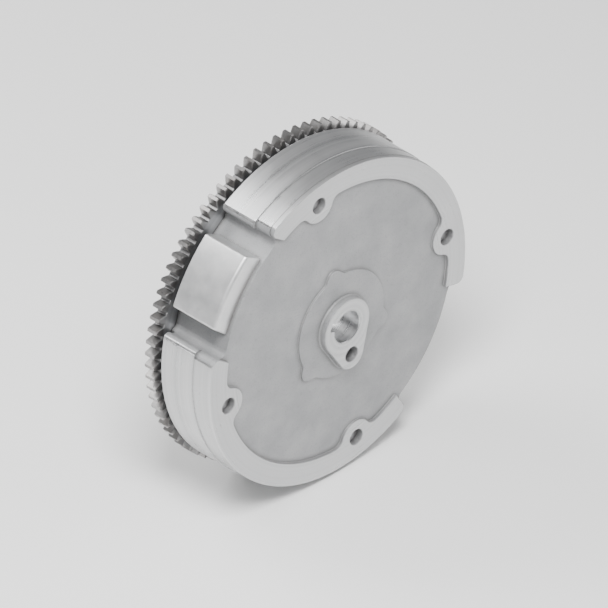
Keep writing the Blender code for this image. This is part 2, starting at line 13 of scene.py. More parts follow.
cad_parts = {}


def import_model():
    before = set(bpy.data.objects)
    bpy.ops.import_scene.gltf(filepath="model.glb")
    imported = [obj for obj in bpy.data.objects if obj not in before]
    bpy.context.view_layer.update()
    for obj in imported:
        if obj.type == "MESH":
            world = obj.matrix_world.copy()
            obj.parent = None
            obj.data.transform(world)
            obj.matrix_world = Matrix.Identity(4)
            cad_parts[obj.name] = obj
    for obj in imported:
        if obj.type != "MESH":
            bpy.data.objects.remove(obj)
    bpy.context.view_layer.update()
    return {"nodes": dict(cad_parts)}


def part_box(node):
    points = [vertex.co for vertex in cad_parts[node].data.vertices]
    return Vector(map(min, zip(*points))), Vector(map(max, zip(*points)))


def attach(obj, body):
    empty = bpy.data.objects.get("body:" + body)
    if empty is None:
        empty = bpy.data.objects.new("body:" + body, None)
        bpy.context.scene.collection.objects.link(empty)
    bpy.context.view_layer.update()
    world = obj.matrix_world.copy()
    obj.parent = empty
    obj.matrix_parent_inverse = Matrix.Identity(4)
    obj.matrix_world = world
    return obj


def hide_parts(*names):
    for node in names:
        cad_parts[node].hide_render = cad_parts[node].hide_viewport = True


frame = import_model()

MM = 0.001
ORIGIN = Vector((0.0, 0.0))
BODY_LOW, BODY_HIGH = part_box("flywheel_body")
GEAR_LOW, GEAR_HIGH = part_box("ring_gear")
COVER_LOW, COVER_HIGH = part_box("ignition_magnet_cover")
RETAINER_LOW, RETAINER_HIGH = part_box("magnet_retainer")

# Fineness of the meshes
TURN_STEPS = 256
TURN_MERGE = 0.01 * MM
HUB_STEP = 3.0              # degrees between the points of arcs
DOWEL_BOSS_STEP = 6.0
EAR_STEP = 9.0
CORNER_STEP = 22.5
WHOLE_STEP = 0.001          # share of a step by which an arc may exceed whole steps
LIP_STEPS = 10              # in the rounding or the fillet of a notch's wall
NOTCH_POINTS = 22
LAND_POINTS = 24
PAD_POINTS = 240
EDGE_STEPS = 3              # in a raised area's edge, and in the fillet at its root
BORE_POINTS = 128
HOLE_POINTS = 48
SCREW_HOLE_POINTS = 32
SCREW_POINTS = 40
HEXAGON = 6
WELD = 0.002 * MM           # points closer than this become one

# Clearances
OVERLAP = 1.0 * MM          # how far a cutter runs past the face it opens
CUTTER_MOUTH = 3.0 * MM     # and a notch cutter past the disc's edge
TOUCH_GAP = 0.02 * MM       # between faces that touch on the real part
FIT_GAP = 0.03 * MM         # round a seat

# Depths behind the flange's front plane
HUB_STANDS = 7.8 * MM       # how far the hub boss stands in front of the flange
FLANGE_Y = BODY_LOW.y + HUB_STANDS
HUB_FRONT = -HUB_STANDS
PAD_FRONT = -3.25 * MM
STEP_DEPTH = 14.1 * MM
DRUM_BACK = 39.6 * MM
GEAR_FRONT = GEAR_LOW.y - FLANGE_Y
GEAR_BACK = GEAR_HIGH.y - FLANGE_Y
BODY_BACK = BODY_HIGH.y - FLANGE_Y

# Rim of the casting
FLANGE_R = 104.4 * MM
DRUM_R = 104.9 * MM
GROOVE_R = 95.0 * MM
SEAT_R = 91.2 * MM
CAVITY_R = 80.0 * MM
LEDGE_R = 87.0 * MM
LEDGE_DEPTH = 45.0 * MM
CAVITY_ROUND = 0.4 * MM
LEDGE_ROUND = 0.5 * MM
BACK_ROUND = 0.9 * MM
SEAT_FILLET = 0.2 * MM
SHOULDER_ROUND = 0.5 * MM
GROOVE_FILLET = 0.8 * MM
DRUM_BACK_ROUND = 0.7 * MM
DRUM_FRONT_ROUND = 0.2 * MM

# Web
DISH_INNER_R = 30.0 * MM
DISH_INNER_DEPTH = -2.2 * MM
DISH_OUTER_R = 95.2 * MM
DISH_OUTER_DEPTH = 2.4 * MM
DISH_RINGS = 9              # turned rings between the pad and the rim
WEB_BACK = 12.0 * MM
WEB_CORNER = 4.0 * MM
REAR_BOSS_R = 25.0 * MM
REAR_BOSS_DRAFT = 1.0 * MM
REAR_BOSS_BACK = 38.0 * MM
REAR_BOSS_ROUND = 0.8 * MM

# Fan flange
UPPER_SETBACK = 0.25 * MM   # the upper land stands back from the rim and shows a line round it
LOWER_SETBACK = 0.02 * MM
LAND_INNER_R = 90.1 * MM
LAND_EDGE = 0.4 * MM
LAND_FILLET = 0.6 * MM
FAN_HOLE_CIRCLE_R = 90.4 * MM
FAN_HOLE_R = 5.05 * MM
FAN_HOLE_DEPTH = 4.6 * MM
FAN_HOLE_ANGLES = (9.6, 99.6, 189.6, 279.6)
EAR_R = 11.5 * MM
EAR_FILLET = 6.0 * MM
END_ROUND = 4.6 * MM

# Pocket for the ignition block, with parallel walls, and the relief gap opposite it
POCKET_ANGLE = 144.7
POCKET_HALF_WIDTH = 38.8 * MM
POCKET_FLOOR_R = 91.5 * MM
NOTCH_FILLET = 4.6 * MM
DRUM_END_ROUND = 3.3 * MM
RELIEF_ANGLE = POCKET_ANGLE - 180.0
RELIEF_HALF_ANGLE = 22.4

# Pad and hub boss
PAD_R = 34.5 * MM
PAD_BUMP_ANGLES = (98.8, 218.8, 338.8)
PAD_BUMP_HEIGHT = 5.3 * MM
PAD_BUMP_HALF_ANGLE = 13.5
PAD_BUMP_FULLNESS = 0.7     # below 1 the bump's top is flatter than a cosine
PAD_EDGE = 0.35 * MM
PAD_FILLET = 0.5 * MM
HUB_R = 18.3 * MM
HUB_EDGE = 0.5 * MM
HUB_FILLET = 1.2 * MM
ROOT_SWEEP = 72.0           # degrees of a fillet that show before it sinks below the surface
ROOT_SINK = 0.6 * MM
DOWEL_CENTRE = Vector((3.6, -21.1)) * MM
DOWEL_BOSS_R = 9.8 * MM
DOWEL_HOLE_R = 4.9 * MM
DOWEL_HOLE_DEPTH = 6.0 * MM
HOLE_CHAMFER = 0.35 * MM

# Tapered bore and keyway
BORE_FRONT_R = 9.9 * MM
BORE_TAPER = 0.1            # growth of the radius per unit of depth
BORE_MOUTH = 0.5 * MM
CORE_R = 0.5 * BORE_FRONT_R
KEY_ANGLE = 156.6
KEY_HALF_WIDTH = 2.65 * MM
KEY_FLOOR = 14.1 * MM       # from the axis, at the front

# Balance drillings in the back of the web
BALANCE_CIRCLE_R = 56.0 * MM
BALANCE_HOLE_R = 4.5 * MM
BALANCE_DEPTH = 4.0 * MM
BALANCE_POINT = 1.8 * MM
BALANCE_ANGLES = (RELIEF_ANGLE - 12.0, RELIEF_ANGLE, RELIEF_ANGLE + 12.0)
SMALL_CHAMFER = 0.3 * MM    # of these and of the retainer's screw holes
DRILL_TIP = 0.1             # radius left at a drill point's tip, as a share of the hole's

# Edges and finishes of the casting
CAST_EDGE = 0.3 * MM
CAST_EDGE_ANGLE = 35.0      # degrees: sharper edges than this are rounded
EDGE_SEGMENTS = 2
SMOOTH_ANGLE = 32.0
NORMAL_WEIGHT = 60
UNDER_LAND_R = 97.9 * MM    # outside this radius the front edges of the notches lie under a land
UNDER_LAND_DEPTH = 3.4 * MM
HOLE_MARGIN = 0.4 * MM      # how far a hole's chamfer may reach outside it
SQUARE_ON = 0.97            # |Y| of a normal that faces along the axis
CAST, TURNED, DRILLED = 0, 1, 2     # material slots

# Starter ring gear
GEAR_TEETH = 84
GEAR_PHASE = 1.0            # angle of the middle of a tooth
GEAR_TIP_R = GEAR_HIGH.x
GEAR_MODULE = 2.0 * GEAR_TIP_R / (GEAR_TEETH + 2.0)
GEAR_DEDENDUM = 1.25
GEAR_PITCH_R = GEAR_TIP_R - GEAR_MODULE
GEAR_ROOT_R = GEAR_PITCH_R - GEAR_DEDENDUM * GEAR_MODULE
GEAR_PRESSURE_ANGLE = math.radians(20.0)
GEAR_ROOT_FILLET = 0.6 * MM
GEAR_BORE_R = SEAT_R + FIT_GAP
GEAR_FACE_R = 99.0 * MM
GEAR_BORE_CHAMFER = 0.5 * MM
TOOTH_FRONT_CHAMFER = 0.35 * MM
TOOTH_BACK_CHAMFER = 0.7 * MM
FILLET_POINTS = 4
FLANK_POINTS = 4

# Ignition block
COVER_FRONT = COVER_LOW.y - FLANGE_Y
COVER_BACK = COVER_HIGH.y - FLANGE_Y
COVER_BASE_R = POCKET_FLOOR_R + FIT_GAP
COVER_TOP_R = 104.1 * MM
COVER_BASE_HALF_WIDTH = 24.6 * MM
COVER_TOP_HALF_WIDTH = 23.4 * MM
COVER_FRONT_ROUND = 2.6 * MM
COVER_BACK_ROUND = 1.5 * MM
COVER_END_ROUND = 1.2 * MM
COVER_STEPS = 24
END_STEPS = 4
BAY_FRONT = 10.0 * MM
BAY_BACK = 34.0 * MM
BAY_HALF_WIDTH = 20.5 * MM
BAY_TOP_R = 102.4 * MM

# Holes of the ignition block's screws, drilled outwards from inside the rim
IGNITION_SCREW_OFFSET = 14.5 * MM
IGNITION_SCREW_DEPTH = 22.0 * MM
IGNITION_HOLE_R = 2.8 * MM
SPOT_FACE_R = 4.55 * MM
SPOT_FACE_START = 72.0 * MM
SPOT_FACE_FLOOR = 84.0 * MM

# Retainer of the charging magnets
RETAINER_INNER_R = 69.2 * MM
SHEET = 0.8 * MM
SHEET_EDGE = 0.25 * MM
BEND_R = 1.8 * MM
LINER_FRONT = RETAINER_LOW.y - FLANGE_Y
LIP_BACK = RETAINER_HIGH.y - FLANGE_Y
LIP_R = RETAINER_HIGH.x

# Button-head screws through the retainer's lip
SCREW_CIRCLE_R = 83.4 * MM
SCREW_ANGLES = [POCKET_ANGLE + 30.0 + 60.0 * i for i in range(6)]
SCREW_HOLE_BOTTOM = 36.8 * MM
SCREW_HOLE_POINT = 0.8 * MM
SCREW_SHANK_R = 2.0 * MM
SCREW_TIP_R = 0.6 * SCREW_SHANK_R
SCREW_TIP_CHAMFER = 0.4 * SCREW_SHANK_R
SCREW_LENGTH = 9.1 * MM
SCREW_HEAD_R = 3.2 * MM
SCREW_HEAD_HEIGHT = 2.3 * MM
SCREW_EDGE = 0.2 * MM
SCREW_SOCKET_R = 1.35 * MM
SCREW_SOCKET_DEPTH = 1.3 * MM
SCREW_SOCKET_TURN = 23.0    # degrees between one screw's socket and the next one's
DOME_STEPS = 6
DOME_SWEEP = 58.0

# Pieces that keep their CAD shape
CAD_EDGE = 0.4 * MM
CAD_EDGE_ANGLE = 40.0
CAD_FLATNESS = 0.5          # degrees

# Colours, as one colour or as the two ends of a range, and the painted shade in their corners
IRON_SKIN = (0.285, 0.29, 0.295), (0.375, 0.375, 0.38)
IRON_FLECK = (0.15, 0.15, 0.155)
IRON_CORNER_SHADE = (0.08, 0.075, 0.07)
TURNED_IRON = (0.44, 0.445, 0.45), (0.59, 0.59, 0.595)
TURNED_CORNER_SHADE = (0.15, 0.145, 0.14)
DRILLED_IRON = (0.33, 0.33, 0.335), (0.44, 0.44, 0.445)
DRILLED_CORNER_SHADE = (0.10, 0.095, 0.09)
GEAR_STEEL = (0.30, 0.305, 0.315), (0.42, 0.425, 0.43)
GEAR_HEAT_TINT = (0.21, 0.185, 0.165)
GEAR_CORNER_SHADE = (0.04, 0.037, 0.035)
ALUMINIUM = (0.63, 0.635, 0.64), (0.73, 0.73, 0.73)
ALUMINIUM_CORNER_SHADE = (0.22, 0.21, 0.20)
FERRITE = (0.045, 0.045, 0.05), (0.09, 0.09, 0.10)
LAMINATIONS = (0.30, 0.30, 0.31), (0.46, 0.46, 0.47)
LAMINATION_PITCH = 0.5 * MM
STAINLESS = (0.60, 0.60, 0.59), (0.70, 0.70, 0.69)
STAINLESS_CORNER_SHADE = (0.2, 0.19, 0.18)
ZINC = (0.62, 0.66, 0.70), (0.72, 0.70, 0.60)
ZINC_CORNER_SHADE = (0.15, 0.14, 0.13)
# Reach and samples of the ambient occlusion that places the painted shade in corners
CORNER_SHADE_REACH = 3.5 * MM
CORNER_SHADE_SAMPLES = 8
MIX_FACTOR, MIX_FIRST, MIX_SECOND, MIX_COLOUR = 0, 6, 7, 2  # sockets, the last one an output

# Stage
FLOOR_SIZE = 8.0
FLOOR_COLOUR = (0.93, 0.93, 0.925, 1.0)
FLOOR_ROUGHNESS = 0.85
SKY = (0.55, 0.56, 0.58), (1.0, 1.0, 1.0)
SKY_STRENGTH = 0.5
LIGHTS = (("key", (-0.45, -0.45, 1.0), 0.45, 24.0),     # name, place, side and power
          ("fill", (0.9, -0.8, 0.35), 1.0, 5.0),
          ("rim", (-0.3, 0.9, 0.8), 0.7, 12.0))
VIEW_WIDTH = 0.3508
CAMERA_TARGET = Vector((-2.44, 3.49, 1.05)) * MM
CAMERA_DISTANCE = 2.0


# --- Plane geometry -----------------------------

def polar(radius, degrees):
    angle = math.radians(degrees)
    return Vector((radius * math.cos(angle), radius * math.sin(angle)))


def heading(vector):
    return math.degrees(math.atan2(vector.y, vector.x))


def turn(points, degrees):
    rotation = Matrix.Rotation(math.radians(degrees), 2)
    return [rotation @ point for point in points]


def signed(degrees):
    """The same angle between -180 and 180."""
    return (degrees + 180.0) % 360.0 - 180.0


def mirror(points):
    """Outline mirrored about its own x axis, travelled in the same order."""
    return [Vector((point.x, -point.y)) for point in points]


def arc(centre, radius, start, end, count):
    """Points on an arc from start to end degrees, both included."""
    return [centre + polar(radius, start + (end - start) * i / count) for i in range(count + 1)]


def stepped_arc(centre, radius, start, end, step):
    """The same arc with points at most step degrees apart."""
    count = max(2, math.ceil(abs(end - start) / step - WHOLE_STEP))
    return arc(centre, radius, start, end, count)


def swept(sweep, steps):
    """Angles in radians from zero to sweep degrees, both included."""
    return [math.radians(sweep * i / steps) for i in range(steps + 1)]


def ring(centre, radius, count):
    return arc(centre, radius, 0.0, 360.0, count)[:-1]


def rim_between(radius, start, end, anticlockwise, count):
    """A fixed number of points on a circle about the axis, strictly between two outline points."""
    first = heading(start)
    sweep = (heading(end) - first) % 360.0
    if not anticlockwise:
        sweep -= 360.0
    return arc(ORIGIN, radius, first, first + sweep, count + 1)[1:-1]


def rounded(corners):
    """Closed outline of (x, y, corner radius), with an arc at each corner that has a radius."""
    points = [Vector(corner[:2]) for corner in corners]
    outline = []
    for i, corner in enumerate(points):
        radius = corners[i][2]
        if not radius:
            outline.append(corner)
            continue
        back = (points[i - 1] - corner).normalized()
        ahead = (points[(i + 1) % len(points)] - corner).normalized()
        half = 0.5 * back.angle(ahead)
        centre = corner + (back + ahead).normalized() * (radius / math.sin(half))
        reach = radius / math.tan(half)
        start = heading(corner + back * reach - centre)
        sweep = signed(heading(corner + ahead * reach - centre) - start)
        outline += stepped_arc(centre, radius, start, start + sweep, CORNER_STEP)
    return outline


# --- Building meshes ----------------------------

def world_y(along):
    """World Y of a depth behind the flange's front plane."""
    return FLANGE_Y + along


def world(point, along):
    return Vector((point.x, world_y(along), point.y))


def new_object(name, shape):
    mesh = bpy.data.meshes.new(name)
    shape.to_mesh(mesh)
    shape.free()
    obj = bpy.data.objects.new(name, mesh)
    bpy.context.scene.collection.objects.link(obj)
    return obj


def loft(name, sections, closed=False):
    """Solid through rings of world points, each with the same number of points. It ends in two
    flat caps, or in its first ring again if it is closed."""
    shape = bmesh.new()
    rings = [[shape.verts.new(point) for point in section] for section in sections]
    if closed:
        rings.append(rings[0])
    else:
        shape.faces.new(rings[0])
        shape.faces.new(rings[-1])
    for front, back in zip(rings, rings[1:]):
        for i in range(len(front)):
            j = (i + 1) % len(front)
            shape.faces.new((front[i], front[j], back[j], back[i]))
    bmesh.ops.recalc_face_normals(shape, faces=shape.faces)
    return new_object(name, shape)


def level(outline, along):
    return [world(point, along) for point in outline]


def prism(name, outline, front, back):
    return loft(name, [level(outline, front), level(outline, back)])


def modify(obj, name, kind, **settings):
    modifier = obj.modifiers.new(name, kind)
    for key, value in settings.items():
        setattr(modifier, key, value)


def turned(name, corners):
    """Solid of revolution about the crankshaft axis, from (radius, depth, rounding) corners."""
    shape = bmesh.new()
    loop = [shape.verts.new((point.x, world_y(point.y), 0.0)) for point in rounded(corners)]
    for first, second in zip(loop, loop[1:] + loop[:1]):
        shape.edges.new((first, second))
    obj = new_object(name, shape)
    modify(obj, "Turn", "SCREW", axis="Y", steps=TURN_STEPS, render_steps=TURN_STEPS,
           use_merge_vertices=True, merge_threshold=TURN_MERGE)
    return obj


def drill(name, centre, mouth, bottom, radius, chamfer, count=HOLE_POINTS, point=0.0):
    """Cutter for a hole along Y with a chamfered mouth and, if asked, a drill point."""
    inward = 1.0 if bottom > mouth else -1.0
    rows = [(radius + chamfer, mouth - inward * OVERLAP), (radius + chamfer, mouth),
            (radius, mouth + inward * chamfer), (radius, bottom)]
    if point:
        rows.append((DRILL_TIP * radius, bottom + inward * point))
    return loft(name, [level(ring(centre, r, count), along) for r, along in rows])


def combine(obj, others, operation):
    for other in others:
        modify(obj, other.name, "BOOLEAN", operation=operation, object=other, solver="EXACT")


def freeze(obj, helpers=()):
    """Replace an object's mesh by its evaluated one, and drop its modifiers and its cutters."""
    graph = bpy.context.evaluated_depsgraph_get()
    mesh = bpy.data.meshes.new_from_object(obj.evaluated_get(graph), depsgraph=graph)
    obj.modifiers.clear()
    obj.data = mesh
    for helper in helpers:
        bpy.data.objects.remove(helper, do_unlink=True)


def weld(mesh):
    shape = bmesh.new()
    shape.from_mesh(mesh)
    bmesh.ops.remove_doubles(shape, verts=shape.verts, dist=WELD)
    bmesh.ops.dissolve_degenerate(shape, dist=WELD, edges=shape.edges)
    shape.to_mesh(mesh)
    shape.free()


def split_wide_faces(mesh):
    """Cut faces of more than four corners into triangles, which later cutters divide cleanly."""
    shape = bmesh.new()
    shape.from_mesh(mesh)
    wide = [face for face in shape.faces if len(face.verts) > 4]
    bmesh.ops.triangulate(shape, faces=wide)
    shape.to_mesh(mesh)
    shape.free()


def break_edges(obj, width, keep_sharp):
    """Round the sharp edges of a frozen mesh, except those whose two ends keep_sharp accepts."""
    shape = bmesh.new()
    shape.from_mesh(obj.data)
    weights = shape.edges.layers.float.new("bevel_weight_edge")
    limit = math.radians(CAST_EDGE_ANGLE)
    for edge in shape.edges:
        if len(edge.link_faces) != 2 or edge.calc_face_angle() <= limit:
            continue
        if not all(keep_sharp(vert.co) for vert in edge.verts):
            edge[weights] = 1.0
    shape.to_mesh(obj.data)
    shape.free()
    modify(obj, "Edges", "BEVEL", width=width, segments=EDGE_SEGMENTS, limit_method="WEIGHT",
           use_clamp_overlap=False, miter_outer="MITER_ARC")
    freeze(obj)


def smooth(obj):
    mesh = obj.data
    mesh.polygons.foreach_set("use_smooth", [True] * len(mesh.polygons))
    mesh.set_sharp_from_angle(angle=math.radians(SMOOTH_ANGLE))
    modify(obj, "Weighted", "WEIGHTED_NORMAL", keep_sharp=True, weight=NORMAL_WEIGHT)


def finish_piece(piece, materials, node):
    """Give a piece its materials and smooth shading, and let it stand for a CAD node."""
    for material in materials:
        piece.data.materials.append(material)
    smooth(piece)
    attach(piece, "root")
    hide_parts(node)


# --- Casting ------------------------------------

def dish_depth(radius):
    slope = (DISH_OUTER_DEPTH - DISH_INNER_DEPTH) / (DISH_OUTER_R - DISH_INNER_R)
    return DISH_INNER_DEPTH + slope * (radius - DISH_INNER_R)


def casting_corners():
    """Half section of the casting: (radius, depth, rounding)."""
    shoulder = GEAR_FRONT - TOUCH_GAP
    radii = [DISH_OUTER_R + (DISH_INNER_R - DISH_OUTER_R) * i / DISH_RINGS
             for i in range(DISH_RINGS + 1)]
    dish = [(radius, dish_depth(radius), 0.0) for radius in radii]
    return [
        (CORE_R, REAR_BOSS_BACK, 0.0),
        (REAR_BOSS_R - REAR_BOSS_DRAFT, REAR_BOSS_BACK, REAR_BOSS_ROUND),
        (REAR_BOSS_R, WEB_BACK, WEB_CORNER),
        (CAVITY_R, WEB_BACK, WEB_CORNER),
        (CAVITY_R, LEDGE_DEPTH, CAVITY_ROUND),
        (LEDGE_R, LEDGE_DEPTH, LEDGE_ROUND),
        (LEDGE_R, BODY_BACK, LEDGE_ROUND),
        (SEAT_R, BODY_BACK, BACK_ROUND),
        (SEAT_R, shoulder, SEAT_FILLET),
        (GROOVE_R, shoulder, SHOULDER_ROUND),
        (GROOVE_R, DRUM_BACK, GROOVE_FILLET),
        (DRUM_R, DRUM_BACK, DRUM_BACK_ROUND),
        (DRUM_R, STEP_DEPTH, DRUM_FRONT_ROUND),
        (FLANGE_R, STEP_DEPTH, 0.0),
        (FLANGE_R, dish_depth(FLANGE_R), 0.0),
    ] + dish + [(CORE_R, DISH_INNER_DEPTH, 0.0)]


def lip(outer_r, wall, radius):
    """Rounded corner between an outer circle and a wall at y = wall, from the circle inwards."""
    y = wall + radius
    centre = Vector((math.sqrt((outer_r - radius) ** 2 - y ** 2), y))
    return arc(centre, radius, heading(centre), -90.0, LIP_STEPS)


def open_lip(outer_r, wall, radius):
    """The same corner for a cutter, which runs on outwards past the disc's edge."""
    corner = lip(outer_r, wall, radius)[1:]
    mouth = corner[0] * ((outer_r + CUTTER_MOUTH) / corner[0].length)
    return [mouth] + corner


def floor_fillet(floor_r, wall, radius):
    """Hollow fillet between a wall at y = wall and a floor circle, from the wall inwards."""
    y = wall - radius
    centre = Vector((math.sqrt((floor_r + radius) ** 2 - y ** 2), y))
    return arc(centre, radius, 90.0, 180.0 + heading(centre), LIP_STEPS)


def notch_outline(middle, half_angle, wall, outer_r, floor_r, lip_radius, fillet_radius):
    """Notch in a disc's edge. Its walls are parallel to the radii at half_angle either side of
    the middle, and lie outside those radii by the wall distance."""
    side = open_lip(outer_r, wall, lip_radius) + floor_fillet(floor_r, wall, fillet_radius)
    side = turn(side, half_angle)
    other = mirror(side)
    floor = rim_between(floor_r, side[-1], other[-1], False, NOTCH_POINTS)
    mouth = rim_between(outer_r + CUTTER_MOUTH, other[0], side[0], True, NOTCH_POINTS)
    return turn(side + floor + other[::-1] + mouth, middle)


def lip_cutter_outline(side):
    """Wider rounding of the pocket's corner where it crosses the flange. Side is 1 or -1."""
    corner = open_lip(FLANGE_R, POCKET_HALF_WIDTH, END_ROUND)
    inside = POCKET_HALF_WIDTH - CUTTER_MOUTH
    outline = corner + [Vector((corner[-1].x, inside)), Vector((corner[0].x, inside))]
    return turn(outline if side > 0 else mirror(outline), POCKET_ANGLE)


def land_end(wall, half_angle, setback, grow, inner_grow):
    """End of a land beside a notch, in the notch's frame, from the outer circle inwards."""
    y = wall + setback - grow
    inner_corner = Vector((math.sqrt((LAND_INNER_R - inner_grow) ** 2 - y ** 2), y))
    rounding = lip(FLANGE_R - setback + grow, y, END_ROUND + grow)
    return turn(rounding + [inner_corner], half_angle)


def ear(angle, grow):
    """Ear round a fan hole, with its fillets, travelled clockwise about the axis."""
    fillet_r = EAR_FILLET - grow
    ear_r = EAR_R + grow
    reach = LAND_INNER_R - EAR_FILLET
    cosine = reach ** 2 + FAN_HOLE_CIRCLE_R ** 2 - (EAR_R + EAR_FILLET) ** 2
    offset = math.degrees(math.acos(cosine / (2.0 * reach * FAN_HOLE_CIRCLE_R)))
    hole = Vector((FAN_HOLE_CIRCLE_R, 0.0))
    fillet_centre = polar(reach, offset)
    to_fillet = heading(fillet_centre - hole)
    fillet = stepped_arc(fillet_centre, fillet_r, offset, to_fillet - 180.0, EAR_STEP)
    crown = stepped_arc(hole, ear_r, to_fillet, 360.0 - to_fillet, EAR_STEP)
    return turn(fillet + crown[1:-1] + mirror(fillet)[::-1], angle)


def land_outline(ends, ears, setback, grow, inner_grow):
    """C-shaped land running anticlockwise between two ends. Each end is (notch's middle, wall,
    half angle, side), and inner_grow is for the inner edge and the ears only."""
    start, end = [turn(mirror(tip) if side < 0 else tip, middle)
                  for middle, wall, half_angle, side in ends
                  for tip in [land_end(wall, half_angle, setback, grow, inner_grow)]]
    inner_r = LAND_INNER_R - inner_grow
    outline = end[:]
    for angle in sorted(ears, reverse=True):
        lobe = ear(angle, inner_grow)
        outline += rim_between(inner_r, outline[-1], lobe[0], False, LAND_POINTS) + lobe
    outline += rim_between(inner_r, outline[-1], start[-1], False, LAND_POINTS)
    outer = rim_between(FLANGE_R - setback + grow, start[0], end[0], True, 3 * LAND_POINTS)
    return outline + start[::-1] + outer


def pad_outline(grow):
    outline = []
    for i in range(PAD_POINTS):
        angle = 360.0 * (i + 0.5) / PAD_POINTS
        radius = PAD_R + grow
        for middle in PAD_BUMP_ANGLES:
            offset = abs(signed(angle - middle)) / PAD_BUMP_HALF_ANGLE
            if offset < 1.0:
                rise = 0.5 + 0.5 * math.cos(math.pi * offset)
                radius += PAD_BUMP_HEIGHT * rise ** PAD_BUMP_FULLNESS
        outline.append(polar(radius, angle))
    return outline


def teardrop_outline(grow):
    """Two circles joined by their outer tangents."""
    towards = heading(DOWEL_CENTRE)
    spread = math.degrees(math.acos((HUB_R - DOWEL_BOSS_R) / DOWEL_CENTRE.length))
    big = stepped_arc(ORIGIN, HUB_R + grow, towards + spread, towards + 360.0 - spread, HUB_STEP)
    small = stepped_arc(DOWEL_CENTRE, DOWEL_BOSS_R + grow, towards - spread, towards + spread,
                        DOWEL_BOSS_STEP)
    return big + small


def raised(name, outline_of, top, edge, root, root_depth):
    """Raised area with a rounded edge at its top and a hollow fillet where it meets the surface
    below, whose depth at a point is root_depth(point)."""
    sections = []
    for angle in swept(90.0, EDGE_STEPS):
        grow = edge * (math.sin(angle) - 1.0)
        sections.append(level(outline_of(grow, grow), top + edge * (1.0 - math.cos(angle))))
    for angle in swept(ROOT_SWEEP, EDGE_STEPS):
        outline = outline_of(0.0, root * (1.0 - math.cos(angle)))
        sections.append([world(point, root_depth(point) - root * (1.0 - math.sin(angle)))
                         for point in outline])
    sections.append([world(point, root_depth(point) + ROOT_SINK) for point in outline])
    return loft(name, sections)


def raised_features():
    pocket, relief = (POCKET_ANGLE, POCKET_HALF_WIDTH, 0.0), (RELIEF_ANGLE, 0.0, RELIEF_HALF_ANGLE)
    upper = ((relief + (1,), pocket + (-1,)), FAN_HOLE_ANGLES[:2], UPPER_SETBACK)
    lower = ((pocket + (1,), relief + (-1,)), FAN_HOLE_ANGLES[2:], LOWER_SETBACK)

    def dish_below(point):
        return dish_depth(point.length)

    lands = [raised(name, lambda grow, inner, land=land: land_outline(*land, grow, inner),
                    0.0, LAND_EDGE, LAND_FILLET, dish_below)
             for name, land in (("land_upper", upper), ("land_lower", lower))]
    return lands + [
        raised("pad", lambda grow, inner: pad_outline(inner),
               PAD_FRONT, PAD_EDGE, PAD_FILLET, dish_below),
        raised("hub_boss", lambda grow, inner: teardrop_outline(inner),
               HUB_FRONT, HUB_EDGE, HUB_FILLET, lambda point: PAD_FRONT),
    ]


def notch_cutters():
    pocket = notch_outline(POCKET_ANGLE, 0.0, POCKET_HALF_WIDTH, DRUM_R, POCKET_FLOOR_R,
                           DRUM_END_ROUND, NOTCH_FILLET)
    relief = notch_outline(RELIEF_ANGLE, RELIEF_HALF_ANGLE, 0.0, FLANGE_R, DISH_OUTER_R,
                           END_ROUND, NOTCH_FILLET)
    shapes = [prism("pocket", pocket, -OVERLAP, GEAR_FRONT),
              prism("relief", relief, -OVERLAP, STEP_DEPTH)]
    for side in (1, -1):
        shapes.append(prism(f"lip_{side}", lip_cutter_outline(side), -OVERLAP, STEP_DEPTH))
    return shapes


def bore_radius(along):
    return BORE_FRONT_R + BORE_TAPER * (along - HUB_FRONT)


def key_outline(along):
    floor = bore_radius(along) + KEY_FLOOR - BORE_FRONT_R
    return turn([Vector((floor, -KEY_HALF_WIDTH)), Vector((floor, KEY_HALF_WIDTH)),
                 Vector((CORE_R, KEY_HALF_WIDTH)), Vector((CORE_R, -KEY_HALF_WIDTH))], KEY_ANGLE)


def bore_cutters():
    front, back = HUB_FRONT, REAR_BOSS_BACK
    front_mouth, back_mouth = bore_radius(front) + BORE_MOUTH, bore_radius(back) + BORE_MOUTH
    rows = [(front_mouth, front - OVERLAP), (front_mouth, front),
            (bore_radius(front), front + BORE_MOUTH), (bore_radius(back), back - BORE_MOUTH),
            (back_mouth, back), (back_mouth, back + OVERLAP)]
    return [loft("bore", [level(ring(ORIGIN, radius, BORE_POINTS), along)
                          for radius, along in rows]),
            loft("keyway", [level(key_outline(along), along)
                            for along in (front - OVERLAP, back + OVERLAP)])]


def plain_holes():
    """(name, centre, radius, depth of the mouth, depth of the bottom, chamfer, drill point)."""
    holes = [("dowel_hole", DOWEL_CENTRE, DOWEL_HOLE_R, HUB_FRONT, HUB_FRONT + DOWEL_HOLE_DEPTH,
              HOLE_CHAMFER, 0.0)]
    holes += [("fan_hole", polar(FAN_HOLE_CIRCLE_R, angle), FAN_HOLE_R, 0.0, FAN_HOLE_DEPTH,
               HOLE_CHAMFER, 0.0) for angle in FAN_HOLE_ANGLES]
    holes += [("balance_hole", polar(BALANCE_CIRCLE_R, angle), BALANCE_HOLE_R, WEB_BACK,
               WEB_BACK - BALANCE_DEPTH, SMALL_CHAMFER, BALANCE_POINT) for angle in BALANCE_ANGLES]
    return holes


def hole_cutters():
    return [drill(name, centre, mouth, bottom, radius, chamfer, point=point)
            for name, centre, radius, mouth, bottom, chamfer, point in plain_holes()]


def pocket_point(distance, side):
    """World point on an ignition screw's axis, at a distance along the pocket's middle line."""
    spot = turn([Vector((distance, side * IGNITION_SCREW_OFFSET))], POCKET_ANGLE)[0]
    return world(spot, IGNITION_SCREW_DEPTH)


def radial_bore(name, side, rows):
    """Cutter along an ignition screw's axis, through (distance, radius) rows."""
    outward = (pocket_point(1.0, side) - pocket_point(0.0, side)).normalized()
    aside = outward.cross(Vector((0.0, 1.0, 0.0)))
    sections = []
    for distance, radius in rows:
        centre = pocket_point(distance, side)
        sections.append([centre + aside * spot.x + Vector((0.0, spot.y, 0.0))
                         for spot in ring(ORIGIN, radius, SCREW_HOLE_POINTS)])
    return loft(name, sections)


